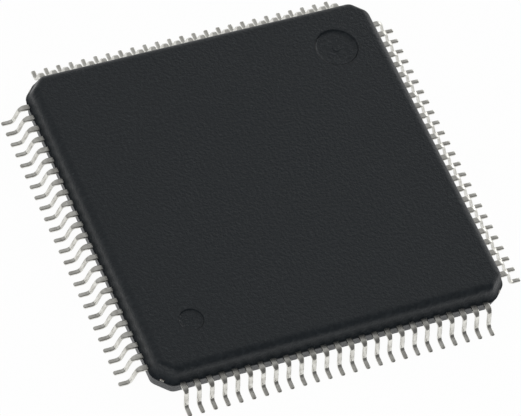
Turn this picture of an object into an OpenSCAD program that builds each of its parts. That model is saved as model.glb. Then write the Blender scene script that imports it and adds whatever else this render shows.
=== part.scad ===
// Quad flat pack with gull-wing leads on four sides, moulded round its lead frame.
// Origin: centre of the seating plane, under the soles of the leads. +Z is up.
// Pins count anticlockwise seen from above: pin 1 is at the left end of the front (-Y).

/* [Body] */
// Width of the square body at the parting line
body_side = 14; // [13.7:0.1:14.6]
// Height of the upper mould half above the parting line
upper_h = 0.7; // [0.55:0.01:0.78]
// Height of the lower mould half
lower_h = 0.7; // [0.5:0.01:0.9]
// Gap between the underside and the seating plane
standoff = 0.05; // [0.05:0.01:0.15]
// Draft of the upper walls, in degrees
upper_draft = 15; // [8:1:16]
// Draft of the lower walls, in degrees
lower_draft = 11; // [5:1:14]
// Step at the parting line, where the upper half stands in from the lower one
parting_step = 0.01; // [0.005:0.005:0.03]
// Radius along the top edge
top_edge_r = 0.34; // [0.1:0.01:0.36]
// Radius along the bottom edge
bottom_edge_r = 0.05; // [0.02:0.01:0.15]
// Leg of the chamfer across each corner
corner_leg = 0.68; // [0.6:0.01:0.74]
// Radius of the corner uprights at the parting line
corner_r = 0.5; // [0.48:0.01:0.6]

/* [Moulding marks] */
// Distance of each round mark from both centre lines
mark_offset = 4.95; // [4:0.05:5.2]
// Diameter of the index mark beside pin 1
index_d = 0.9; // [0.5:0.05:1.4]
// Depth of the index mark
index_depth = 0.05; // [0.02:0.01:0.1]
// Diameter of an ejector pin mark
ejector_d = 1.62; // [1:0.02:1.8]
// Depth of an ejector pin mark
ejector_depth = 0.08; // [0.05:0.01:0.12]
// Diameter of the raised dot at the middle of an ejector pin mark
ejector_dot_d = 0.3; // [0.1:0.05:0.5]
// Height of that dot
ejector_dot_h = 0.02; // [0.01:0.01:0.04]

/* [Leads] */
// Leads along each side
leads_per_side = 25; // [5:5:25]
// Distance from lead to lead
pitch = 0.5; // [0.48:0.01:0.5]
// Overall size from toe to toe
toe_span = 16; // [15.9:0.05:16.6]
// Thickness of the strip that the whole lead frame is cut from
frame_t = 0.1; // [0.08:0.01:0.14]
// Width of a lead from its shank to its toe
lead_w = 0.17; // [0.13:0.01:0.2]
// Width of a lead where it leaves the body, with the stubs of the dam bar
root_w = 0.245; // [0.21:0.005:0.28]
// Length of the level shoulder outside the body
shoulder = 0.21; // [0.15:0.01:0.25]
// Radius of both bends, at the middle of the strip
bend_r = 0.2; // [0.12:0.01:0.22]
// Angle of the shank below the level, in degrees
shank_angle = 74; // [62:1:78]
// Length over which the root narrows to the shank
root_taper = 0.18; // [0.1:0.01:0.25]

/* [Lead frame inside the body] */
// Distance of the inner tips from the centre line
tip_r = 3.7; // [3.6:0.05:3.9]
// Distance between neighbouring inner tips
tip_pitch = 0.27; // [0.25:0.01:0.28]
// Width of an inner tip
tip_w = 0.135; // [0.1:0.005:0.15]
// Length of the straight inner tip
tip_run = 0.45; // [0.4:0.05:0.5]
// Length of the straight run behind the body wall
wall_run = 0.55; // [0.4:0.05:0.6]
// Width of an inner lead at the end of that run
knee_w = 0.21; // [0.16:0.01:0.23]
// Width of the square die paddle
paddle_side = 6.4; // [6:0.1:6.8]
// Drop of the paddle below the leads
downset = 0.2; // [0.15:0.01:0.25]
// Width of the four tie bars that hold the paddle
tie_w = 0.2; // [0.12:0.01:0.24]
// Distance of a tie bar's slope from the paddle's corner
tie_slope_start = 0.2; // [0.1:0.05:0.4]
// Length of that slope, seen from above
tie_slope_run = 0.35; // [0.25:0.05:0.5]
// Stub of the cut tie bar outside the corner
tie_stub = 0.03; // [0.02:0.01:0.06]
// Inner width of the tape ring that locks the leads
tape_inner = 10.1; // [9.8:0.1:10.4]
// Width of the tape
tape_w = 0.6; // [0.4:0.05:0.7]
// Thickness of the tape
tape_t = 0.05; // [0.03:0.01:0.08]

/* [Die and wires] */
// Width of the square die
die_side = 5; // [4.6:0.1:5.2]
// Thickness of the die
die_t = 0.28; // [0.22:0.01:0.32]
// Thickness of the die attach layer
attach_t = 0.025; // [0.015:0.005:0.04]
// Rim of die attach round the die
attach_rim = 0.1; // [0.05:0.01:0.2]
// Diameter of the bond wire
wire_d = 0.025; // [0.02:0.005:0.035]
// Distance between neighbouring bond pads
pad_pitch = 0.18; // [0.14:0.01:0.19]
// Distance of the bond pads from the die's edge
pad_inset = 0.1; // [0.08:0.01:0.15]
// Diameter of a bonded ball
ball_d = 0.06; // [0.045:0.005:0.075]
// Height of a bonded ball
ball_h = 0.015; // [0.01:0.005:0.02]
// Height of the straight wire above the die
riser_h = 0.075; // [0.05:0.005:0.1]
// Radius of the loop at the top of the riser
loop_r = 0.08; // [0.06:0.01:0.1]
// Distance of the stitch from the end of the inner tip
stitch_inset = 0.22; // [0.15:0.01:0.3]

/* [Hidden] */
$fn = 48;
leads_per_group = 5;
groups = [0 : 4 * leads_per_side / leads_per_group - 1];
function pins(group) = str(group * leads_per_group + 1, "_to_", (group + 1) * leads_per_group);

half = body_side / 2;
parting_z = standoff + lower_h;
top_z = parting_z + upper_h;
frame_z = parting_z - frame_t / 2;
frame_top = frame_z + frame_t;
chamfer_reach = (body_side - corner_leg) / sqrt(2);

paddle_z = frame_z - downset;
attach_z = paddle_z + frame_t;
die_z = attach_z + attach_t;
die_top = die_z + die_t;
paddle_corner = paddle_side / sqrt(2);

bend_x = half + shoulder;
bend_drop = bend_r * (1 - cos(shank_angle));
shank_l = (parting_z - frame_t / 2 - 2 * bend_drop) / sin(shank_angle);
heel_x = bend_x + 2 * bend_r * sin(shank_angle) + shank_l * cos(shank_angle);
foot_l = toe_span / 2 - heel_x;
beyond = body_side;
chamfer_overlap = 0.1 * corner_r;
function to_micron(length) = round(1000 * length) / 1000;

// Puts a child that points along +X on side 0 front, 1 right, 2 back or 3 left.
module on_side(side) {
    rotate([0, 0, 90 * (side - 1)]) children();
}

// Extrudes a section drawn in X and Z along +Y.
module along_y(length) {
    rotate([90, 0, 0]) translate([0, 0, -length]) linear_extrude(length) children();
}

// ---- Moulded body ----

// One mould half in section, drawn upwards from the parting line: the wall starts at the
// origin, leans inwards by the draft and turns into the level face through an arc.
module half_section(h, draft, edge_r) {
    arc_x = -h * tan(draft) - edge_r * tan(45 - draft / 2);
    intersection() {
        union() {
            translate([arc_x - beyond, 0]) square([beyond, h]);
            translate([arc_x, h - edge_r]) {
                circle(edge_r);
                rotate(draft) translate([edge_r - 2 * h, -2 * h]) square([2 * h, 2 * h]);
            }
        }
        translate([-beyond, 0]) square([2 * beyond, h]);
    }
}

// Both mould halves in section, from the wall at x = distance inwards by the depth.
module body_section(distance, depth) {
    intersection() {
        translate([distance, parting_z]) {
            translate([-parting_step, 0]) half_section(upper_h, upper_draft, top_edge_r);
            mirror([0, 1]) half_section(lower_h, lower_draft, bottom_edge_r);
        }
        translate([distance - depth, 0]) square([depth, 2 * top_z]);
    }
}

// Half of each side from the middle of a wall to the middle of a chamfer: straight wall,
// rounded upright, straight chamfer. The upright's axis is kept to whole microns, so that
// all three share their edges.
upright_x = half - corner_r;
upright_y = to_micron(upright_x - corner_leg + corner_r * (2 - sqrt(2)));
chamfer_half = (upright_x - upright_y) / sqrt(2) + chamfer_overlap;

module body_blank() {
    for (side = [0 : 3])
        on_side(side) {
            translate([0, -upright_y, 0]) along_y(2 * upright_y) body_section(half, half);
            for (end = [0, 1])
                mirror([0, end, 0]) translate([upright_x, upright_y, 0]) {
                    rotate_extrude(angle = 45) body_section(corner_r, corner_r);
                    rotate([0, 0, 45]) along_y(chamfer_half) body_section(corner_r, half / 2);
                }
        }
}

// Cutter for an ejector pin's mark, from the face at z = 0 downwards.
module ejector_mark() {
    difference() {
        translate([0, 0, -ejector_depth]) cylinder(d = ejector_d, h = 2 * ejector_depth);
        translate([0, 0, -ejector_depth]) cylinder(d = ejector_dot_d, h = ejector_dot_h);
    }
}

module body() {
    color("#303335") difference() {
        body_blank();
        // Index mark beside pin 1, ejector marks on top and underneath
        translate([-mark_offset, -mark_offset, top_z - index_depth])
            cylinder(d = index_d, h = 2 * index_depth);
        translate([mark_offset, mark_offset, top_z]) ejector_mark();
        for (side = [0 : 3])
            on_side(side) translate([mark_offset, mark_offset, standoff])
                mirror([0, 0, 1]) ejector_mark();
        // What the compound is moulded round
        for (side = [0 : 3]) lead_strip(side);
        paddle_solid();
        attach_solid();
        die_solid();
        tape_solid();
        for (side = [0 : 3]) wires(side, all_leads);
    }
}

// ---- Lead frame ----

// Leads are numbered along a side from -n to n about its middle.
last_lead = (leads_per_side - 1) / 2;
all_leads = [-last_lead : last_lead];

// A lead from above: inner tip, fan, straight run through the wall, root, shank and foot.
module lead_plan(k) {
    knee_x = half - wall_run;
    right = [
        [tip_r, k * tip_pitch + tip_w / 2],
        [tip_r + tip_run, k * tip_pitch + tip_w / 2],
        [knee_x, k * pitch + knee_w / 2],
        [half, k * pitch + root_w / 2],
        [bend_x, k * pitch + root_w / 2],
        [bend_x + root_taper, k * pitch + lead_w / 2],
        [toe_span, k * pitch + lead_w / 2]
    ];
    left = [
        [toe_span, k * pitch - lead_w / 2],
        [bend_x + root_taper, k * pitch - lead_w / 2],
        [bend_x, k * pitch - root_w / 2],
        [half, k * pitch - root_w / 2],
        [knee_x, k * pitch - knee_w / 2],
        [tip_r + tip_run, k * tip_pitch - tip_w / 2],
        [tip_r, k * tip_pitch - tip_w / 2]
    ];
    polygon(concat(right, left));
}

// One bend of the strip about the origin, from straight up to the shank's angle.
module bend_section() {
    intersection() {
        difference() {
            circle(bend_r + frame_t / 2);
            circle(bend_r - frame_t / 2);
        }
        square(2 * bend_r);
        rotate(-shank_angle) translate([-2 * bend_r, 0]) square([2 * bend_r, 2 * bend_r]);
    }
}

// A lead from the side: level strip, shoulder bend, shank, heel bend, foot.
module lead_side_view() {
    translate([0, -frame_t / 2]) square([bend_x, frame_t]);
    translate([bend_x, -bend_r]) {
        bend_section();
        rotate(-shank_angle) {
            translate([0, bend_r - frame_t / 2]) square([shank_l, frame_t]);
            translate([shank_l, 2 * bend_r]) {
                rotate(180 + shank_angle) bend_section();
                rotate(shank_angle)
                    translate([0, -bend_r - frame_t / 2]) square([foot_l, frame_t]);
            }
        }
    }
}

// Leads first to last of a side, formed: the side view cut out by the plan.
module leads(side, numbers) {
    on_side(side) intersection() {
        translate([0, -half, 0]) along_y(body_side)
            translate([0, parting_z]) lead_side_view();
        translate([0, 0, -beyond]) linear_extrude(2 * beyond)
            for (k = numbers) lead_plan(k);
    }
}

// The level strip of a side's leads before forming, as it lies in the mould.
module lead_strip(side) {
    on_side(side) translate([0, 0, frame_z]) linear_extrude(frame_t)
        for (k = all_leads) lead_plan(k);
}

// Groups of leads, counted round the package from pin 1: each group's side and its leads.
function side_of(group) = floor(group * leads_per_group / leads_per_side);
function first_of(group) = group * leads_per_group - side_of(group) * leads_per_side - last_lead;
function numbers_of(group) = [first_of(group) : first_of(group) + leads_per_group - 1];

module lead_group(group) {
    color("#a9a9a2") leads(side_of(group), numbers_of(group));
}

// A tie bar from the side: from the paddle's corner, up the slope and out to the chamfer.
module tie_bar_side_view() {
    low_x = paddle_corner + tie_slope_start;
    high_x = low_x + tie_slope_run;
    shift = frame_t * tan(atan2(downset, tie_slope_run) / 2);
    polygon([
        [paddle_corner - 2 * tie_w, paddle_z],
        [low_x, paddle_z],
        [high_x, frame_z],
        [chamfer_reach + tie_stub, frame_z],
        [chamfer_reach + tie_stub, frame_top],
        [high_x - shift, frame_top],
        [low_x - shift, attach_z],
        [paddle_corner - 2 * tie_w, attach_z]
    ]);
}

module paddle_solid() {
    translate([-paddle_side / 2, -paddle_side / 2, paddle_z])
        cube([paddle_side, paddle_side, frame_t]);
    for (side = [0 : 3])
        on_side(side) rotate([0, 0, 45]) translate([0, -tie_w / 2, 0])
            along_y(tie_w) tie_bar_side_view();
}

module die_paddle() {
    color("#b7855c") paddle_solid();
}

// A ring of tape over the level strip, inside the body wall.
module tape_solid() {
    outer = tape_inner + 2 * tape_w;
    translate([0, 0, frame_top]) linear_extrude(tape_t) difference() {
        square(outer, center = true);
        square(tape_inner, center = true);
    }
}

module lead_tape() {
    color("#c98a2d") tape_solid();
}

// ---- Die and bond wires ----

module attach_solid() {
    side = die_side + 2 * attach_rim;
    translate([-side / 2, -side / 2, attach_z]) cube([side, side, attach_t]);
}

module die_attach() {
    color("#c9c9c4") attach_solid();
}

module die_solid() {
    translate([-die_side / 2, -die_side / 2, die_z]) cube([die_side, die_side, die_t]);
}

module die() {
    color("#4a5568") die_solid();
}

// One bond wire: ball, riser, loop, and a straight run that falls to its stitch. The fall is
// kept to a hundredth of a degree, so that the loop meets both its neighbours exactly.
module wire(k) {
    pad_r = die_side / 2 - pad_inset;
    run = [tip_r + stitch_inset - pad_r, k * (tip_pitch - pad_pitch)];
    reach = norm(run) - loop_r;
    rise = die_top + riser_h - frame_top;
    fall = round(100 * (atan2(rise, reach) + asin(loop_r / norm([rise, reach])))) / 100;
    translate([pad_r, k * pad_pitch, die_top]) rotate([0, 0, atan2(run[1], run[0])]) {
        cylinder(d = ball_d, h = ball_h);
        cylinder(d = wire_d, h = riser_h);
        translate([loop_r, 0, riser_h]) rotate([90, 0, 0]) rotate([0, 0, 90 - fall]) {
            rotate_extrude(angle = 90 + fall) translate([loop_r, 0]) circle(d = wire_d);
            translate([loop_r, 0, 0]) rotate([90, 0, 0])
                cylinder(d = wire_d, h = norm([rise, reach]) + 5 * wire_d);
        }
    }
}

// Bond wires first to last of a side, pressed flat where they meet the inner tips.
module wires(side, numbers) {
    on_side(side) intersection() {
        for (k = numbers) wire(k);
        translate([0, -half, frame_top]) cube([half, body_side, upper_h]);
    }
}

module wire_group(group) {
    color("#e0b64a") wires(side_of(group), numbers_of(group));
}

body();
die_paddle();
die_attach();
die();
lead_tape();
for (g = groups) lead_group(g);
for (g = groups) wire_group(g);
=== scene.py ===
"""Quad flat pack chip: the finished surfaces, colours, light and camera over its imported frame.

Laid out as an add-on and run as a script. Lengths are in metres, +Z is up off the board,
and pin 1 is at the left end of the front (-Y) row.
"""

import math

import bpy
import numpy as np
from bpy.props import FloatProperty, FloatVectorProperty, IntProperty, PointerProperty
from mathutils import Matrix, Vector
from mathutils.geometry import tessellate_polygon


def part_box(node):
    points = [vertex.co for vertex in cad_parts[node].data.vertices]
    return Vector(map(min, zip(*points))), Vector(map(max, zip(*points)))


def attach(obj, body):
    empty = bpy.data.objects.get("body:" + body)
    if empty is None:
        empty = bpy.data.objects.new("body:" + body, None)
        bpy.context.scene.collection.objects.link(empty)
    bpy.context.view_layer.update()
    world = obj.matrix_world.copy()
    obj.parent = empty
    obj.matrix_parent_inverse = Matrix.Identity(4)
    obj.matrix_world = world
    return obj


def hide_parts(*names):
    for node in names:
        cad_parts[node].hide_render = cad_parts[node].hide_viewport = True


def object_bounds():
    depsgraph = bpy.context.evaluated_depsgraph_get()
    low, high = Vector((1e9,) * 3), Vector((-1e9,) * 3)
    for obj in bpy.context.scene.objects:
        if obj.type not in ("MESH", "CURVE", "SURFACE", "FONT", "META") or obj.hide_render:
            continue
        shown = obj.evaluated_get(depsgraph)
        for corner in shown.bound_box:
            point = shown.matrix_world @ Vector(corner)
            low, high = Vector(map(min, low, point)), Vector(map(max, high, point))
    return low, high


bl_info = {
    "name": "Quad flat pack",
    "version": (1, 0, 0),
    "blender": (4, 5, 0),
    "location": "View3D > Sidebar > Flat pack",
    "description": "Dresses a quad flat pack chip and sets a soft studio round it",
    "category": "Add Mesh",
}

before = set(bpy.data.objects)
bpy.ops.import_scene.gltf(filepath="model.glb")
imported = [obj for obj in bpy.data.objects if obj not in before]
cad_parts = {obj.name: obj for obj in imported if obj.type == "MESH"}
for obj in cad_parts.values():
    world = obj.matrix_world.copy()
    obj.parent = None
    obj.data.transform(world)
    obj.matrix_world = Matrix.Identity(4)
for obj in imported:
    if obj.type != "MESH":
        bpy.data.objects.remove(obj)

MM = 0.001
CAD_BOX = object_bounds()
BODY_LOW, BODY_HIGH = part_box("body")
LEAD_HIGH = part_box("leads_1_to_5")[1]
GROUP = 5
BEND_STEPS = 7


def linear(hex_colour):
    """The linear RGB of an sRGB hex colour: each channel by the standard's curve."""
    s = np.array([int(hex_colour[i : i + 2], 16) for i in (1, 3, 5)]) / 255
    return tuple(np.where(s <= 0.04045, s / 12.92, ((s + 0.055) / 1.055) ** 2.4))


# ---- Sizes and colours ----


def length(name, description, default):
    """A length property in metres."""
    return FloatProperty(
        name=name, description=description, default=default, min=0, precision=5,
        subtype="DISTANCE", unit="LENGTH",
    )


def turn(name, description, default):
    """An angle property, given in degrees and held in radians."""
    return FloatProperty(
        name=name, description=description, default=math.radians(default),
        subtype="ANGLE", unit="ROTATION",
    )


def colour(name, description, hex_colour):
    """A colour property, given as sRGB hex and held linear."""
    return FloatVectorProperty(
        name=name, description=description, default=linear(hex_colour), size=3,
        min=0, max=1, subtype="COLOR",
    )


class FlatPackBody(bpy.types.PropertyGroup):
    half: length("Half width", "Wall to centre at the parting line", BODY_HIGH.x)
    underside: length("Underside", "Height of the underside", BODY_LOW.z)
    top: length("Top", "Height of the top face", BODY_HIGH.z)
    upper_draft: turn("Upper draft", "Lean of the upper walls", 15)
    lower_draft: turn("Lower draft", "Lean of the lower walls", 11)
    chamfer: length("Chamfer", "Chamfer to centre at the parting line", 9.475 * MM)
    chamfer_draft: turn("Chamfer draft", "Lean of the upper chamfers", 21)
    low_chamfer_draft: turn("Low chamfer draft", "Lean of the lower chamfers", 15.5)
    corner_r: length("Corner radius", "Radius of the uprights at the parting line", 0.5 * MM)
    step: length("Parting step", "How far the upper half stands in", 0.01 * MM)
    top_edge_r: length("Top edge radius", "Rounding along the top edge", 0.34 * MM)
    chamfer_edge_r: length("Chamfer edge radius", "The same along the chamfers", 0.2 * MM)
    bottom_edge_r: length("Bottom edge radius", "Rounding along the bottom", 0.05 * MM)
    mark_offset: length("Mark offset", "Round marks to both centre lines", 4.95 * MM)
    index_d: length("Index mark", "Diameter of the mark at pin 1", 0.9 * MM)
    index_depth: length("Index depth", "Depth of the mark at pin 1", 0.05 * MM)
    ejector_d: length("Ejector mark", "Diameter of an ejector pin mark", 1.62 * MM)
    ejector_depth: length("Ejector depth", "Depth of an ejector pin mark", 0.08 * MM)
    dot_d: length("Ejector dot", "Diameter of the raised dot in it", 0.3 * MM)
    dot_h: length("Dot height", "Height of that dot", 0.02 * MM)


class FlatPackLeads(bpy.types.PropertyGroup):
    per_side: IntProperty(name="Leads a side", description="Leads along a side", default=25)
    pitch: length("Pitch", "Distance from lead to lead", 0.5 * MM)
    thickness: length("Thickness", "Thickness of the strip", 0.1 * MM)
    width: length("Width", "Width of the shank and the foot", 0.17 * MM)
    root_width: length("Root width", "Width where it leaves the body", 0.245 * MM)
    shoulder: length("Shoulder", "Level run outside the body", 0.21 * MM)
    taper: length("Taper", "Length over which the root narrows", 0.18 * MM)
    bend_r: length("Bend radius", "Radius of both bends at mid strip", 0.2 * MM)
    shank: turn("Shank angle", "Fall of the shank below the level", 74)
    edge_r: length("Edge radius", "Rounding of the stamped edges", 0.04 * MM)
    tip_r: length("Tip distance", "Inner tip to the centre line", 3.7 * MM)
    tip_run: length("Tip run", "Length of the straight inner tip", 0.45 * MM)
    tip_pitch: length("Tip pitch", "Distance from inner tip to tip", 0.27 * MM)
    tip_width: length("Tip width", "Width of an inner tip", 0.135 * MM)
    wall_run: length("Wall run", "Straight run behind the wall", 0.55 * MM)
    knee_width: length("Knee width", "Width at the end of that run", 0.21 * MM)
    tie_width: length("Tie bar width", "Width of the four tie bars", 0.2 * MM)
    tie_stub: length("Tie bar stub", "How far a sheared tie bar stands out", 0.01 * MM)


class FlatPackColours(bpy.types.PropertyGroup):
    compound: colour("Compound", "Black filled epoxy", "#14191d")
    filler: colour("Filler", "Grains of silica at the surface", "#2c3134")
    tin: colour("Tin", "Matte tin plate", "#e9e8e2")
    tin_dull: colour("Dull tin", "Tin where it has dulled", "#c6c4bd")
    copper: colour("Copper", "Bare copper alloy of the lead frame", "#c08457")
    silver: colour("Silver epoxy", "Die attach paste", "#a8a8a2")
    silicon: colour("Silicon", "Polished die", "#3f4a5c")
    tape: colour("Tape", "Amber polyimide", "#b8741f")
    gold: colour("Gold", "Drawn bond wire", "#e6b84c")


class FlatPackStage(bpy.types.PropertyGroup):
    azimuth: turn("Azimuth", "Camera's turn from the front", -33.86)
    elevation: turn("Elevation", "Camera's height above the level", 53.47)
    roll: turn("Roll", "Camera's turn about its own axis", 14.22)
    distance: length("Distance", "Camera to its aim", 168.26 * MM)
    aim: FloatVectorProperty(
        name="Aim", description="Point on the camera's axis, from the frame's origin",
        default=(-0.231 * MM, -0.460 * MM, 0.375 * MM), subtype="TRANSLATION", unit="LENGTH",
    )
    lens: FloatProperty(
        name="Lens", description="Focal length", default=315.93, unit="CAMERA",
    )
    floor: colour("Floor", "White studio floor", "#f4f4f4")
    backdrop: FloatProperty(
        name="Backdrop", description="Share of the floor that shows as plain white",
        default=0.96, min=0, max=1, subtype="FACTOR",
    )


# ---- Meshes ----


def arc(centre, radius, start, end, count):
    """Points of a circular arc, one angle step after another: centre plus radius times
    (cosine, sine). Angles are in radians."""
    angle = np.linspace(start, end, count)
    return np.asarray(centre) + radius * np.stack([np.cos(angle), np.sin(angle)], axis=1)


def strip_faces(rows, columns):
    """Quads between neighbouring rows of a grid whose columns run right round."""
    at = np.arange(rows * columns).reshape(rows, columns)
    after = np.roll(at, -1, axis=1)
    quads = [at[:-1], after[:-1], after[1:], at[1:]]
    return np.stack(quads, axis=-1).reshape(-1, 4)


def smooth_normals(mesh):
    """Gives every vertex the mean of its faces' normals, weighted by their areas, so that
    broad flats stay flat and the narrow roundings between them carry the turn."""
    mesh.calc_loop_triangles()
    count = len(mesh.loop_triangles)
    corners = np.empty(3 * count, np.int32)
    mesh.loop_triangles.foreach_get("vertices", corners)
    points = np.empty(3 * len(mesh.vertices), np.float32)
    mesh.vertices.foreach_get("co", points)
    corners, points = corners.reshape(-1, 3), points.reshape(-1, 3).astype(float)
    a, b, c = points[corners].transpose(1, 0, 2)
    weighted = np.cross(b - a, c - a)
    normals = np.zeros_like(points)
    for corner in range(3):
        np.add.at(normals, corners[:, corner], weighted)
    normals /= np.linalg.norm(normals, axis=1, keepdims=True)
    mesh.normals_split_custom_set_from_vertices(normals)


def add_piece(name, points, faces, material, slot, nodes, **amounts):
    """Makes one piece from whole arrays, lets it ride with the body and stand for its nodes.
    amounts gives its materials one number for each vertex, by name."""
    mesh = bpy.data.meshes.new(name)
    mesh.from_pydata(points, [], faces)
    mesh.polygons.foreach_set("use_smooth", np.ones(len(mesh.polygons), bool))
    mesh.materials.append(material)
    for key, values in amounts.items():
        mesh.attributes.new(key, "FLOAT", "POINT").data.foreach_set("value", values)
    mesh.update()
    smooth_normals(mesh)
    piece = bpy.data.objects.new(name, mesh)
    bpy.context.scene.collection.objects.link(piece)
    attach(piece, "root")
    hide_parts(*nodes)
    return piece


# ---- Moulded body ----


def wall_inset(rise, height, draft, edge_r):
    """How far a leaning wall stands in at each rise above the parting line: the rise times
    the draft's tangent up to the rounding, then the rounding's circle."""
    arc_in = height * math.tan(draft) + edge_r * math.tan(math.pi / 4 - draft / 2)
    over = np.clip(rise - height + edge_r, 0, edge_r)
    rounded = arc_in - np.sqrt(edge_r**2 - over**2)
    past_wall = rise > height - edge_r * (1 - math.sin(draft))
    return np.where(past_wall, rounded, rise * math.tan(draft))


def outline(wall, chamfer, corner_r, steps):
    """Rings of a square with chamfered and rounded corners, one for each wall distance.
    Each of the eight corners is an arc between the normals of a wall and of a chamfer,
    about the point that lies one radius inside both. Returns rings, points, (x, y)."""
    corner = np.arange(8)
    sweep = np.radians(45 * (corner[:, None] + np.linspace(0, 1, steps + 1)))
    along = wall - corner_r
    across = math.sqrt(2) * (chamfer - corner_r) - along
    facing = np.radians(90 * ((corner + 1) // 2))
    side = np.where(corner % 2, -1, 1)
    out = np.stack([np.cos(facing), np.sin(facing)], axis=1)
    beside = np.stack([-np.sin(facing), np.cos(facing)], axis=1) * side[:, None]
    centre = along[:, None, None] * out + across[:, None, None] * beside
    spoke = np.stack([np.cos(sweep), np.sin(sweep)], axis=-1)
    rings = centre[:, :, None] + corner_r[:, None, None, None] * spoke
    return rings.reshape(len(wall), -1, 2)


def parting_height():
    """Height of the parting line, at the middle of the lead frame's strip."""
    return LEAD_HIGH.z - bpy.context.scene.flat_pack_leads.thickness / 2


def half_rises(height, draft, edge_r, steps):
    """Heights of one mould half's rings above the parting line: the wall, then even steps
    of angle round the edge."""
    around = np.sin(np.linspace(draft, math.pi / 2, steps + 1))
    rounding = height - edge_r + edge_r * around
    return np.concatenate([np.linspace(0, rounding[0], 4)[:-1], rounding])


def joined(low, ledge, high, rim=0.0):
    """One value for each ring, from the underside up: the lower half's from its edge down to
    the parting line turned about, the parting step's, then the upper half's. The first and
    the last ring are the borders of the level faces, rim further in."""
    low = low[::-1]
    return np.concatenate([low[:1] + rim, low[:-1], ledge, high[1:], high[-1:] + rim])


def shell_rings(size):
    """The body's side surface as rings from the underside to the top face."""
    parting = parting_height()
    down, up = parting - size.underside, size.top - parting
    rim = 0.03 * MM
    rounding = 0.3 * size.step

    low = half_rises(down, size.lower_draft, size.bottom_edge_r, 4)
    low_in = wall_inset(low, down, size.lower_draft, size.bottom_edge_r)
    low_cut = wall_inset(low, down, size.low_chamfer_draft, size.bottom_edge_r)
    high = half_rises(up, size.upper_draft, size.top_edge_r, 14)
    high_in = wall_inset(high, up, size.upper_draft, size.top_edge_r) + size.step
    high_cut = wall_inset(high, up, size.chamfer_draft, size.chamfer_edge_r) + size.step
    ledge_in = [0, rounding, size.step - rounding, size.step]

    z = joined(-low, [-rounding, 0, 0, rounding], high)
    inset = joined(low_in, ledge_in, high_in, rim)
    cut = joined(low_cut, ledge_in, high_cut, rim)
    corner_r = np.maximum(size.corner_r - inset, 0.01 * MM)
    rings = outline(size.half - inset, size.chamfer - cut, corner_r, 8)
    heights = np.broadcast_to((parting + z)[:, None, None], (*rings.shape[:2], 1))
    return np.concatenate([rings, heights], axis=2)


def mark_profile(radius, depth, dot_r=0.0, dot_h=0.0):
    """Section of a round mark from its rim to its centre, as (radius, drop): a rounded rim,
    a short wall, a hollow corner, the floor, and the raised dot if there is one."""
    lip, hollow = 0.4 * depth, 0.9 * depth
    parts = [
        arc((radius + lip, -lip), lip, math.pi / 2, math.pi, 5),
        arc((radius - hollow, -depth + hollow), hollow, 0, -math.pi / 2, 5),
    ]
    if dot_r:
        foot = dot_h / 2
        parts.append(arc((dot_r + foot, -depth + foot), foot, -math.pi / 2, -math.pi, 3))
        parts.append(arc((dot_r - foot, -depth + foot), foot, 0, math.pi / 2, 3))
    floor = parts[-1][-1]
    parts.append(floor * [[0.5, 1], [0.1, 1]])
    return np.concatenate(parts)


def mark_rings(profile, centre, face_z, up, steps=48):
    """A round mark as rings about its own axis: the profile turned right round. up is 1 on
    the top face and -1 on the underside."""
    turnings = np.linspace(0, 2 * math.pi, steps, endpoint=False)
    spoke = np.stack([np.cos(turnings), np.sin(turnings)], axis=1)
    flat = np.asarray(centre) + profile[:, None, :1] * spoke
    heights = face_z + up * np.broadcast_to(profile[:, None, 1:], (*flat.shape[:2], 1))
    return np.concatenate([flat, heights], axis=2)


def face_with_marks(rim, marks, first, up):
    """Fills a level face between its rim and the first ring of each mark, then closes the
    marks: strips between their rings and a fan at the centre. rim and first are where the
    rim's and the marks' vertices start. Returns vertices, faces and where the next vertex
    starts."""
    loops = [rim] + [rings[0] for rings in marks]
    where = [first["rim"] + np.arange(len(rim))]
    points, faces, at = [], [], first["marks"]
    for rings in marks:
        rows, columns = rings.shape[:2]
        where.append(at + np.arange(columns))
        quads = at + strip_faces(rows, columns)
        last = at + (rows - 1) * columns + np.arange(columns)
        centre = rings[-1].mean(axis=0)
        points += [rings.reshape(-1, 3), centre[None]]
        pole = np.full(columns, at + rows * columns)
        fan = np.stack([last, np.roll(last, -1), pole], axis=1)
        outward = (quads, fan) if up < 0 else (quads[:, ::-1], fan[:, ::-1])
        faces += [face for part in outward for face in part.tolist()]
        at += rows * columns + 1
    where = np.concatenate(where)
    triangles = np.array(tessellate_polygon([[Vector(p) for p in loop] for loop in loops]))
    flat = np.concatenate(loops)
    a, b, c = flat[triangles].transpose(1, 0, 2)
    wrong = np.cross(b - a, c - a)[:, 2] * up < 0
    triangles[wrong] = triangles[wrong][:, ::-1]
    faces += where[triangles].tolist()
    return points, faces, at


def body_mesh(size):
    """The whole moulded body as one closed skin: the side surface, the top face with its
    two marks and the underside with its four."""
    rings = shell_rings(size)
    rows, columns = rings.shape[:2]
    faces = strip_faces(rows, columns).tolist()
    points = [rings.reshape(-1, 3)]
    o = size.mark_offset
    index = mark_profile(size.index_d / 2, size.index_depth)
    ejector = mark_profile(size.ejector_d / 2, size.ejector_depth, size.dot_d / 2, size.dot_h)
    top = [
        mark_rings(index, (-o, -o), size.top, 1),
        mark_rings(ejector, (o, o), size.top, 1),
    ]
    under = [
        mark_rings(ejector, (x, y), size.underside, -1) for x in (-o, o) for y in (-o, o)
    ]
    ends = {"rim": (rows - 1) * columns, "marks": rows * columns}
    more, filled, at = face_with_marks(rings[-1], top, ends, 1)
    points += more
    faces += filled
    more, filled, at = face_with_marks(rings[0], under, {"rim": 0, "marks": at}, -1)
    points += more
    faces += filled
    return np.concatenate(points), faces


def pin_faces(points, size):
    """1 where a vertex lies in a round mark, cast against the polished end of a pin, and 0
    on the rest of the skin: its height is off both faces and its place is near a mark."""
    x, y, z = np.abs(points).T
    away = np.hypot(x - size.mark_offset, y - size.mark_offset)
    sunk = np.minimum(size.top - z, z - size.underside)
    inside = (away < size.ejector_d / 2) & (sunk > 0.6 * size.index_depth)
    return inside.astype(float)


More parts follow.
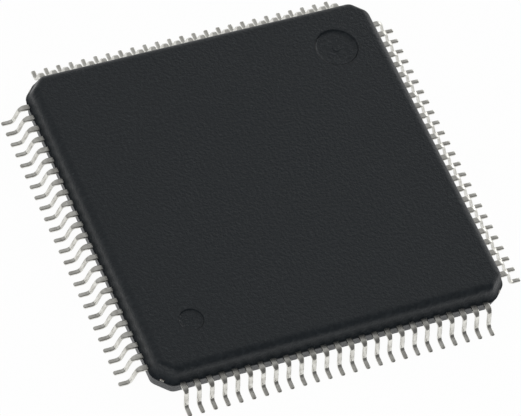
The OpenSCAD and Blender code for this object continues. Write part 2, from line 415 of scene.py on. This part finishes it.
class MESH_OT_flat_pack_body(bpy.types.Operator):
    """Moulds the body: drafted walls, rounded edges, chamfered corners and round marks"""

    bl_idname = "mesh.flat_pack_body"
    bl_label = "Moulded body"

    def execute(self, context):
        points, faces = body_mesh(context.scene.flat_pack_body)
        add_piece(
            "moulded_body", points, faces, moulding_compound(), "moulding_compound", ["body"],
            pin_face=pin_faces(points, context.scene.flat_pack_body),
        )
        return {"FINISHED"}


# ---- Leads ----


def lead_stations(size, half):
    """The strip's middle from its inner tip to its toe, as (distance out, height, slope) at
    each station: level run, shoulder bend, straight shank, heel bend, foot."""
    mid = size.thickness / 2
    level = LEAD_HIGH.z - mid
    bend_x = half + size.shoulder
    drop = size.bend_r * (1 - math.cos(size.shank))
    shank_l = (level - mid - 2 * drop) / math.sin(size.shank)
    reach = size.bend_r * math.sin(size.shank)
    heel_x = bend_x + 2 * reach + shank_l * math.cos(size.shank)
    toe = CAD_BOX[1].x

    runs = [size.tip_r, size.tip_r + size.edge_r, size.tip_r + size.tip_run]
    runs += [half - size.wall_run, half, bend_x - size.edge_r]
    inner = [[x, level, 0] for x in runs]
    around = np.linspace(0, size.shank, BEND_STEPS)
    shoulder = arc((bend_x, level - size.bend_r), size.bend_r, math.pi / 2,
                   math.pi / 2 - size.shank, BEND_STEPS)
    heel = arc((heel_x, mid + size.bend_r), size.bend_r, -math.pi / 2 - size.shank,
               -math.pi / 2, BEND_STEPS)
    foot = [[toe - size.edge_r, mid, 0], [toe, mid, 0]]
    return np.concatenate([
        inner,
        np.column_stack([shoulder, -around]),
        np.column_stack([heel, -around[::-1]]),
        foot,
    ])


def bar_points(stations, width, middle, thickness, edge_r):
    """A flat bar carried along its stations: at each, its section stands square to the slope,
    with a quarter circle of edge_r at each corner. Both ends are drawn in by edge_r.
    Returns rows, points, (x, y, z)."""
    x, z, slope = (column[:, None] for column in np.asarray(stations).T)
    inset = np.zeros_like(x)
    inset[[0, -1]] = edge_r
    turn = np.radians(90 * np.arange(4)[:, None] + np.linspace(0, 90, 4)).ravel()
    edge = edge_r - inset
    across = np.repeat([1, -1, -1, 1], 4) * (width[:, None] / 2 - edge_r) + edge * np.cos(turn)
    over = np.repeat([1, 1, -1, -1], 4) * (thickness / 2 - edge_r) + edge * np.sin(turn)
    return np.stack([
        x - over * np.sin(slope), middle[:, None] + across, z + over * np.cos(slope)
    ], axis=2)


def turned(rows, degrees):
    """Those points as one list, turned about the body's upright axis."""
    turn = np.array(Matrix.Rotation(math.radians(degrees), 3, "Z"))
    return rows.reshape(-1, 3) @ turn.T


def bar_faces(rows):
    """Quads along the bar and one face over each end."""
    count, columns = rows.shape[:2]
    faces = strip_faces(count, columns).tolist()
    faces.append(list(range(columns))[::-1])
    faces.append([(count - 1) * columns + k for k in range(columns)])
    return faces


def lead_points(size, half, number):
    """One lead along its stations: its width and its middle follow the plan's corner points.
    The number counts from the middle of the row."""
    stations = lead_stations(size, half)
    x = stations[:, 0]
    bend_x = half + size.shoulder
    at = [size.tip_r + size.tip_run, half - size.wall_run, half, bend_x, bend_x + size.taper]
    widths = [size.tip_width, size.knee_width, size.root_width, size.root_width, size.width]
    width = np.interp(x, at, widths)
    middle = np.interp(x, at[:2], [number * size.tip_pitch, number * size.pitch])
    return bar_points(stations, width, middle, size.thickness, size.edge_r)


class MESH_OT_flat_pack_leads(bpy.types.Operator):
    """Forms the gull-wing leads, pin by pin round the four sides"""

    bl_idname = "mesh.flat_pack_leads"
    bl_label = "Gull-wing leads"

    def execute(self, context):
        size = context.scene.flat_pack_leads
        half = context.scene.flat_pack_body.half
        tin = tin_plate()
        for pin in range(4 * size.per_side):
            side, place = divmod(pin, size.per_side)
            rows = lead_points(size, half, place - (size.per_side - 1) / 2)
            first = pin // GROUP * GROUP + 1
            node = f"leads_{first}_to_{first + GROUP - 1}"
            add_piece(
                f"lead_{pin + 1:03d}", turned(rows, 90 * (side - 1)), bar_faces(rows), tin,
                "tinned_lead", [node],
            )
        return {"FINISHED"}


class MESH_OT_flat_pack_tie_ends(bpy.types.Operator):
    """Adds the sheared ends of the four tie bars, which stand out of the chamfers"""

    bl_idname = "mesh.flat_pack_tie_ends"
    bl_label = "Tie bar ends"

    def execute(self, context):
        size = context.scene.flat_pack_leads
        end = context.scene.flat_pack_body.chamfer + size.tie_stub
        runs = [end - 0.3 * MM, end - 0.2 * MM, end - size.edge_r, end]
        stations = [[x, parting_height(), 0] for x in runs]
        width = np.full(4, size.tie_width)
        rows = bar_points(stations, width, np.zeros(4), size.thickness, size.edge_r)
        tin = tin_plate()
        for corner in range(4):
            add_piece(
                f"tie_bar_end_{corner + 1}", turned(rows, 90 * corner - 135),
                bar_faces(rows), tin, "tinned_lead", [],
            )
        return {"FINISHED"}


# ---- Materials ----


def add_node(tree, kind, values=(), **settings):
    """Adds one node. settings are its own properties, and values gives its inputs by name or
    number: a socket is linked, anything else is set."""
    node = tree.nodes.new(kind)
    for name, value in settings.items():
        setattr(node, name, value)
    for name, value in dict(values).items():
        if isinstance(value, bpy.types.NodeSocket):
            tree.links.new(value, node.inputs[name])
        else:
            node.inputs[name].default_value = value
    return node


def new_material(name, **values):
    """An empty finish: its tree, its main shader with those values set, and its Object
    coordinates."""
    material = bpy.data.materials.new(name)
    material.use_nodes = True
    tree = material.node_tree
    shader = tree.nodes["Principled BSDF"]
    for key, value in values.items():
        shader.inputs[key.replace("_", " ")].default_value = value
    place = add_node(tree, "ShaderNodeTexCoord").outputs["Object"]
    return material, tree, shader, place


def per(millimetres):
    """Texture scale at which one feature measures that many millimetres."""
    return 1 / (millimetres * MM)


def rgba(rgb):
    return (*rgb, 1)


def moulding_compound():
    """Black epoxy filled with silica, moulded against spark-eroded steel: an even matte with
    a fine grain, a little lighter where grains of filler come through."""
    colours = bpy.context.scene.flat_pack_colours
    material, tree, shader, place = new_material("spark_eroded_black_epoxy", IOR=1.55)
    # The craters of the mould's finish are about 0.02 mm, drawn at 0.12 mm so that they show
    grain = add_node(tree, "ShaderNodeTexNoise",
                     {"Vector": place, "Scale": per(0.12), "Detail": 4, "Roughness": 0.65})
    cloud = add_node(tree, "ShaderNodeTexNoise",
                     {"Vector": place, "Scale": per(2.5), "Detail": 2})
    speck = add_node(tree, "ShaderNodeTexVoronoi", {"Vector": place, "Scale": per(0.9)})
    spot = add_node(tree, "ShaderNodeMapRange",
                    {"Value": speck.outputs["Distance"], "From Min": 0.05, "From Max": 0.03})
    light = add_node(tree, "ShaderNodeMapRange",
                     {"Value": grain.outputs["Fac"], "From Min": 0.45, "From Max": 0.75,
                      "To Max": 0.5})
    more = add_node(tree, "ShaderNodeMath",
                    {0: light.outputs["Result"], 1: spot.outputs["Result"]},
                    operation="MAXIMUM")
    base = add_node(tree, "ShaderNodeMix",
                    {0: more.outputs[0], 6: rgba(colours.compound), 7: rgba(colours.filler)},
                    data_type="RGBA")
    tree.links.new(base.outputs[2], shader.inputs["Base Color"])
    # Painted shade: the walls reflect less and turn rougher towards the parting line, so that a
    # band along it looks shaded; further down, the lower walls reflect more than the upper ones
    height = add_node(tree, "ShaderNodeSeparateXYZ", {0: place}).outputs["Z"]
    parting = parting_height()
    above = add_node(tree, "ShaderNodeMapRange",
                     {"Value": height, "From Min": parting - 0.1 * MM,
                      "From Max": parting + 0.4 * MM})
    under = add_node(tree, "ShaderNodeMapRange",
                     {"Value": height, "From Min": parting - 0.07 * MM,
                      "From Max": parting - 0.17 * MM, "To Max": 1.5})
    away_from_parting_shade = add_node(tree, "ShaderNodeMath",
                     {0: above.outputs["Result"], 1: under.outputs["Result"]},
                     operation="MAXIMUM")
    gloss = add_node(tree, "ShaderNodeMath", {0: away_from_parting_shade.outputs[0], 1: 0.34},
                     operation="MULTIPLY")
    tree.links.new(gloss.outputs[0], shader.inputs["Specular IOR Level"])
    rough = add_node(tree, "ShaderNodeMapRange",
                     {"Value": cloud.outputs["Fac"], "From Min": 0.3, "From Max": 0.7,
                      "To Min": 0.38, "To Max": 0.46})
    parting_shade_roughness = add_node(tree, "ShaderNodeMix",
                       {0: away_from_parting_shade.outputs[0], 2: 0.8, 3: rough.outputs["Result"]})
    pin = add_node(tree, "ShaderNodeAttribute", attribute_name="pin_face").outputs["Fac"]
    polished = add_node(tree, "ShaderNodeMix", {0: pin, 2: parting_shade_roughness.outputs[0], 3: 0.2})
    tree.links.new(polished.outputs[0], shader.inputs["Roughness"])
    bump = add_node(tree, "ShaderNodeBump",
                    {"Height": grain.outputs["Fac"], "Strength": 0.9, "Distance": 0.035 * MM})
    tree.links.new(bump.outputs["Normal"], shader.inputs["Normal"])
    return material


def tin_plate():
    """Matte electroplated tin over copper alloy: warm grey metal with a fine crystal grain,
    duller in patches where the plate was handled or bent."""
    colours = bpy.context.scene.flat_pack_colours
    material, tree, shader, place = new_material("matte_tin_plate", Metallic=1.0)
    # Tin crystals are about 0.005 mm, drawn at 0.04 mm so that they show
    crystal = add_node(tree, "ShaderNodeTexNoise",
                       {"Vector": place, "Scale": per(0.04), "Detail": 2, "Roughness": 0.6})
    patch = add_node(tree, "ShaderNodeTexNoise",
                     {"Vector": place, "Scale": per(0.25), "Detail": 3, "Roughness": 0.6})
    dull = add_node(tree, "ShaderNodeMapRange",
                    {"Value": patch.outputs["Fac"], "From Min": 0.35, "From Max": 0.7})
    base = add_node(tree, "ShaderNodeMix",
                    {0: dull.outputs["Result"], 6: rgba(colours.tin), 7: rgba(colours.tin_dull)},
                    data_type="RGBA")
    tree.links.new(base.outputs[2], shader.inputs["Base Color"])
    rough = add_node(tree, "ShaderNodeMapRange",
                     {"Value": dull.outputs["Result"], "To Min": 0.18, "To Max": 0.32})
    tree.links.new(rough.outputs["Result"], shader.inputs["Roughness"])
    bump = add_node(tree, "ShaderNodeBump",
                    {"Height": crystal.outputs["Fac"], "Strength": 0.35, "Distance": 0.004 * MM})
    tree.links.new(bump.outputs["Normal"], shader.inputs["Normal"])
    return material


def frame_copper():
    """Rolled copper alloy strip: fine rolling lines along its length, lightly dulled."""
    colours = bpy.context.scene.flat_pack_colours
    material, tree, shader, place = new_material("rolled_copper_alloy", Metallic=1.0)
    stretched = add_node(tree, "ShaderNodeMapping", {"Vector": place, "Scale": (0.04, 1, 1)})
    lines = add_node(tree, "ShaderNodeTexNoise",
                     {"Vector": stretched.outputs[0], "Scale": per(0.03), "Detail": 3})
    tone = add_node(tree, "ShaderNodeMapRange",
                    {"Value": lines.outputs["Fac"], "To Min": 0.8, "To Max": 1.1})
    base = add_node(tree, "ShaderNodeVectorMath",
                    {0: colours.copper[:], "Scale": tone.outputs["Result"]}, operation="SCALE")
    tree.links.new(base.outputs[0], shader.inputs["Base Color"])
    rough = add_node(tree, "ShaderNodeMapRange",
                     {"Value": lines.outputs["Fac"], "To Min": 0.25, "To Max": 0.45})
    tree.links.new(rough.outputs["Result"], shader.inputs["Roughness"])
    return material


def silver_epoxy():
    """Silver-filled die attach paste, cured: grey flakes in a satin resin."""
    colours = bpy.context.scene.flat_pack_colours
    material, tree, shader, place = new_material("cured_silver_epoxy", Roughness=0.5)
    flakes = add_node(tree, "ShaderNodeTexVoronoi", {"Vector": place, "Scale": per(0.02)})
    tone = add_node(tree, "ShaderNodeMapRange",
                    {"Value": flakes.outputs["Distance"], "To Min": 1.1, "To Max": 0.7})
    base = add_node(tree, "ShaderNodeVectorMath",
                    {0: colours.silver[:], "Scale": tone.outputs["Result"]}, operation="SCALE")
    tree.links.new(base.outputs[0], shader.inputs["Base Color"])
    return material


def silicon_die():
    """Polished silicon under glass: mirror-smooth, with plain blocks of circuit that differ
    only in tone."""
    colours = bpy.context.scene.flat_pack_colours
    material, tree, shader, place = new_material(
        "passivated_silicon", Metallic=0.6, Roughness=0.12, Coat_Weight=0.5
    )
    blocks = add_node(tree, "ShaderNodeTexBrick",
                      {"Vector": place, "Scale": per(1), "Color1": rgba(colours.silicon),
                       "Color2": rgba([1.6 * c for c in colours.silicon]),
                       "Mortar": rgba([0.5 * c for c in colours.silicon]),
                       "Mortar Size": 0.02, "Brick Width": 0.8, "Row Height": 0.45})
    tree.links.new(blocks.outputs["Color"], shader.inputs["Base Color"])
    return material


def polyimide_tape():
    """Amber polyimide tape: satin film with a faint, long waviness."""
    colours = bpy.context.scene.flat_pack_colours
    material, tree, shader, place = new_material("amber_polyimide", Roughness=0.32)
    waves = add_node(tree, "ShaderNodeTexNoise", {"Vector": place, "Scale": per(0.6)})
    tone = add_node(tree, "ShaderNodeMapRange",
                    {"Value": waves.outputs["Fac"], "To Min": 0.85, "To Max": 1.15})
    base = add_node(tree, "ShaderNodeVectorMath",
                    {0: colours.tape[:], "Scale": tone.outputs["Result"]}, operation="SCALE")
    tree.links.new(base.outputs[0], shader.inputs["Base Color"])
    return material


def gold_wire():
    """Drawn gold: bright and soft, with faint drawing marks."""
    colours = bpy.context.scene.flat_pack_colours
    material, tree, shader, place = new_material("drawn_gold", Metallic=1.0)
    shader.inputs["Base Color"].default_value = rgba(colours.gold)
    marks = add_node(tree, "ShaderNodeTexNoise", {"Vector": place, "Scale": per(0.03)})
    rough = add_node(tree, "ShaderNodeMapRange",
                     {"Value": marks.outputs["Fac"], "To Min": 0.15, "To Max": 0.3})
    tree.links.new(rough.outputs["Result"], shader.inputs["Roughness"])
    return material


class MATERIAL_OT_flat_pack_inner(bpy.types.Operator):
    """Gives the pieces sealed in the body their finishes"""

    bl_idname = "material.flat_pack_inner"
    bl_label = "Inner pieces"

    def execute(self, context):
        finishes = {
            "die_paddle": frame_copper(),
            "die_attach": silver_epoxy(),
            "die": silicon_die(),
            "lead_tape": polyimide_tape(),
            "bond_wires": gold_wire(),
        }
        for node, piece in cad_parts.items():
            kind = "bond_wires" if node.startswith("bond_wires") else node
            if kind in finishes:
                piece.data.materials.clear()
                piece.data.materials.append(finishes[kind])
        return {"FINISHED"}


# ---- Stage ----


def glow(tree, way, towards, start, power, strength):
    """A soft glow in the room: grows from nothing where the way's cosine to its middle is
    start, by that power, to its full strength in the middle."""
    middle = Vector(towards).normalized()
    facing = add_node(tree, "ShaderNodeVectorMath", {0: way, 1: middle},
                      operation="DOT_PRODUCT")
    ramp = add_node(tree, "ShaderNodeMapRange",
                    {"Value": facing.outputs["Value"], "From Min": start, "From Max": 1.0})
    bent = add_node(tree, "ShaderNodeMath", {0: ramp.outputs["Result"], 1: power},
                    operation="POWER")
    full = add_node(tree, "ShaderNodeMath", {0: bent.outputs[0], 1: strength},
                    operation="MULTIPLY")
    return full.outputs[0]


def studio_world():
    """Soft room light: a broad pale glow high behind the left side and a lower, brighter one
    at the right, over a dim room."""
    world = bpy.data.worlds.new("soft_room")
    bpy.context.scene.world = world
    world.use_nodes = True
    tree = world.node_tree
    way = add_node(tree, "ShaderNodeTexCoord").outputs["Generated"]
    room = add_node(tree, "ShaderNodeMath",
                    {0: glow(tree, way, (-0.25, 0.8, 0.55), -0.2, 2.0, 0.4),
                     1: glow(tree, way, (0.9, 0.45, 0.12), 0.8, 1.0, 1.8)})
    strength = add_node(tree, "ShaderNodeMath", {0: room.outputs[0], 1: 0.15})
    tree.links.new(strength.outputs[0], tree.nodes["Background"].inputs["Strength"])
    tree.nodes["Background"].inputs["Color"].default_value = (1, 1, 1, 1)


def studio_floor(stage):
    """A wide level floor under the leads. Seen directly or in a reflection it is mostly plain
    white, and keeps the chip's shadow."""
    size = 4.0
    material = bpy.data.materials.new("white_studio_card")
    material.use_nodes = True
    tree = material.node_tree
    shader = tree.nodes["Principled BSDF"]
    shader.inputs["Base Color"].default_value = rgba(stage.floor)
    shader.inputs["Roughness"].default_value = 0.9
    shader.inputs["Specular IOR Level"].default_value = 0.0
    path = add_node(tree, "ShaderNodeLightPath")
    mirrored = add_node(tree, "ShaderNodeMath",
                        {0: path.outputs["Is Glossy Ray"], 1: path.outputs["Is Transmission Ray"]},
                        operation="MAXIMUM")
    dimmed = add_node(tree, "ShaderNodeMath", {0: mirrored.outputs[0], 1: 0.85},
                      operation="MULTIPLY")
    seen = add_node(tree, "ShaderNodeMath",
                    {0: dimmed.outputs[0], 1: path.outputs["Is Camera Ray"]},
                    operation="MAXIMUM")
    share = add_node(tree, "ShaderNodeMath", {0: seen.outputs[0], 1: stage.backdrop},
                     operation="MULTIPLY")
    white = add_node(tree, "ShaderNodeEmission", {"Strength": 1.0})
    mixed = add_node(tree, "ShaderNodeMixShader",
                     {0: share.outputs[0], 1: shader.outputs[0], 2: white.outputs[0]})
    tree.links.new(mixed.outputs[0], tree.nodes["Material Output"].inputs["Surface"])

    mesh = bpy.data.meshes.new("studio_floor")
    corners = size / 2 * np.array([(-1, -1), (1, -1), (1, 1), (-1, 1)])
    mesh.from_pydata(np.column_stack([corners, np.full(4, CAD_BOX[0].z)]), [], [(0, 1, 2, 3)])
    mesh.materials.append(material)
    floor = bpy.data.objects.new("studio_floor", mesh)
    bpy.context.scene.collection.objects.link(floor)


def studio_lamp():
    """One broad lamp above the camera's side, for the plain level of light. It is too high
    and too soft to show as a spot in the metal, and leaves that to the room."""
    lamp = bpy.data.lights.new("broad_lamp", "AREA")
    lamp.shape = "DISK"
    lamp.size = 0.3
    lamp.energy = 1.0
    holder = bpy.data.objects.new("broad_lamp", lamp)
    holder.location = (-0.12, -0.18, 0.34)
    holder.rotation_euler = (-holder.location).to_track_quat("-Z", "Y").to_euler()
    holder.visible_glossy = False
    bpy.context.scene.collection.objects.link(holder)


def studio_camera(stage):
    """The camera on a long lens: out from its aim by azimuth and elevation, then rolled."""
    out = Vector((
        math.sin(stage.azimuth) * math.cos(stage.elevation),
        -math.cos(stage.azimuth) * math.cos(stage.elevation),
        math.sin(stage.elevation),
    ))
    data = bpy.data.cameras.new("camera")
    data.lens = stage.lens
    data.clip_start, data.clip_end = 0.1 * stage.distance, 20 * stage.distance
    camera = bpy.data.objects.new("camera", data)
    looking = (-out).to_track_quat("-Z", "Y").to_matrix() @ Matrix.Rotation(stage.roll, 3, "Z")
    camera.matrix_world = (
        Matrix.Translation(Vector(stage.aim) + stage.distance * out) @ looking.to_4x4()
    )
    bpy.context.scene.collection.objects.link(camera)
    bpy.context.scene.camera = camera


class SCENE_OT_flat_pack_stage(bpy.types.Operator):
    """Sets the floor, the room light, the lamp and the camera"""

    bl_idname = "scene.flat_pack_stage"
    bl_label = "Studio"

    def execute(self, context):
        stage = context.scene.flat_pack_stage
        studio_world()
        studio_floor(stage)
        studio_lamp()
        studio_camera(stage)
        context.scene.view_settings.view_transform = "Standard"
        return {"FINISHED"}


# ---- Panel and registration ----


class VIEW3D_PT_flat_pack(bpy.types.Panel):
    bl_label = "Quad flat pack"
    bl_idname = "VIEW3D_PT_flat_pack"
    bl_space_type = "VIEW_3D"
    bl_region_type = "UI"
    bl_category = "Flat pack"

    def draw(self, context):
        for operator in OPERATORS:
            self.layout.operator(operator.bl_idname)
        for name in GROUPS:
            group = getattr(context.scene, name)
            box = self.layout.box()
            for key in group.bl_rna.properties.keys():
                if key not in ("rna_type", "name"):
                    box.prop(group, key)


GROUPS = {
    "flat_pack_body": FlatPackBody,
    "flat_pack_leads": FlatPackLeads,
    "flat_pack_colours": FlatPackColours,
    "flat_pack_stage": FlatPackStage,
}
OPERATORS = (
    SCENE_OT_flat_pack_stage,
    MATERIAL_OT_flat_pack_inner,
    MESH_OT_flat_pack_body,
    MESH_OT_flat_pack_leads,
    MESH_OT_flat_pack_tie_ends,
)
CLASSES = (*GROUPS.values(), *OPERATORS, VIEW3D_PT_flat_pack)


def register():
    for cls in CLASSES:
        bpy.utils.register_class(cls)
    for name, cls in GROUPS.items():
        setattr(bpy.types.Scene, name, PointerProperty(type=cls))


def unregister():
    for name in GROUPS:
        delattr(bpy.types.Scene, name)
    for cls in reversed(CLASSES):
        bpy.utils.unregister_class(cls)


def main():
    register()
    bpy.ops.scene.flat_pack_stage()
    bpy.ops.material.flat_pack_inner()
    bpy.ops.mesh.flat_pack_body()
    bpy.ops.mesh.flat_pack_leads()
    bpy.ops.mesh.flat_pack_tie_ends()


if __name__ == "__main__":
    main()
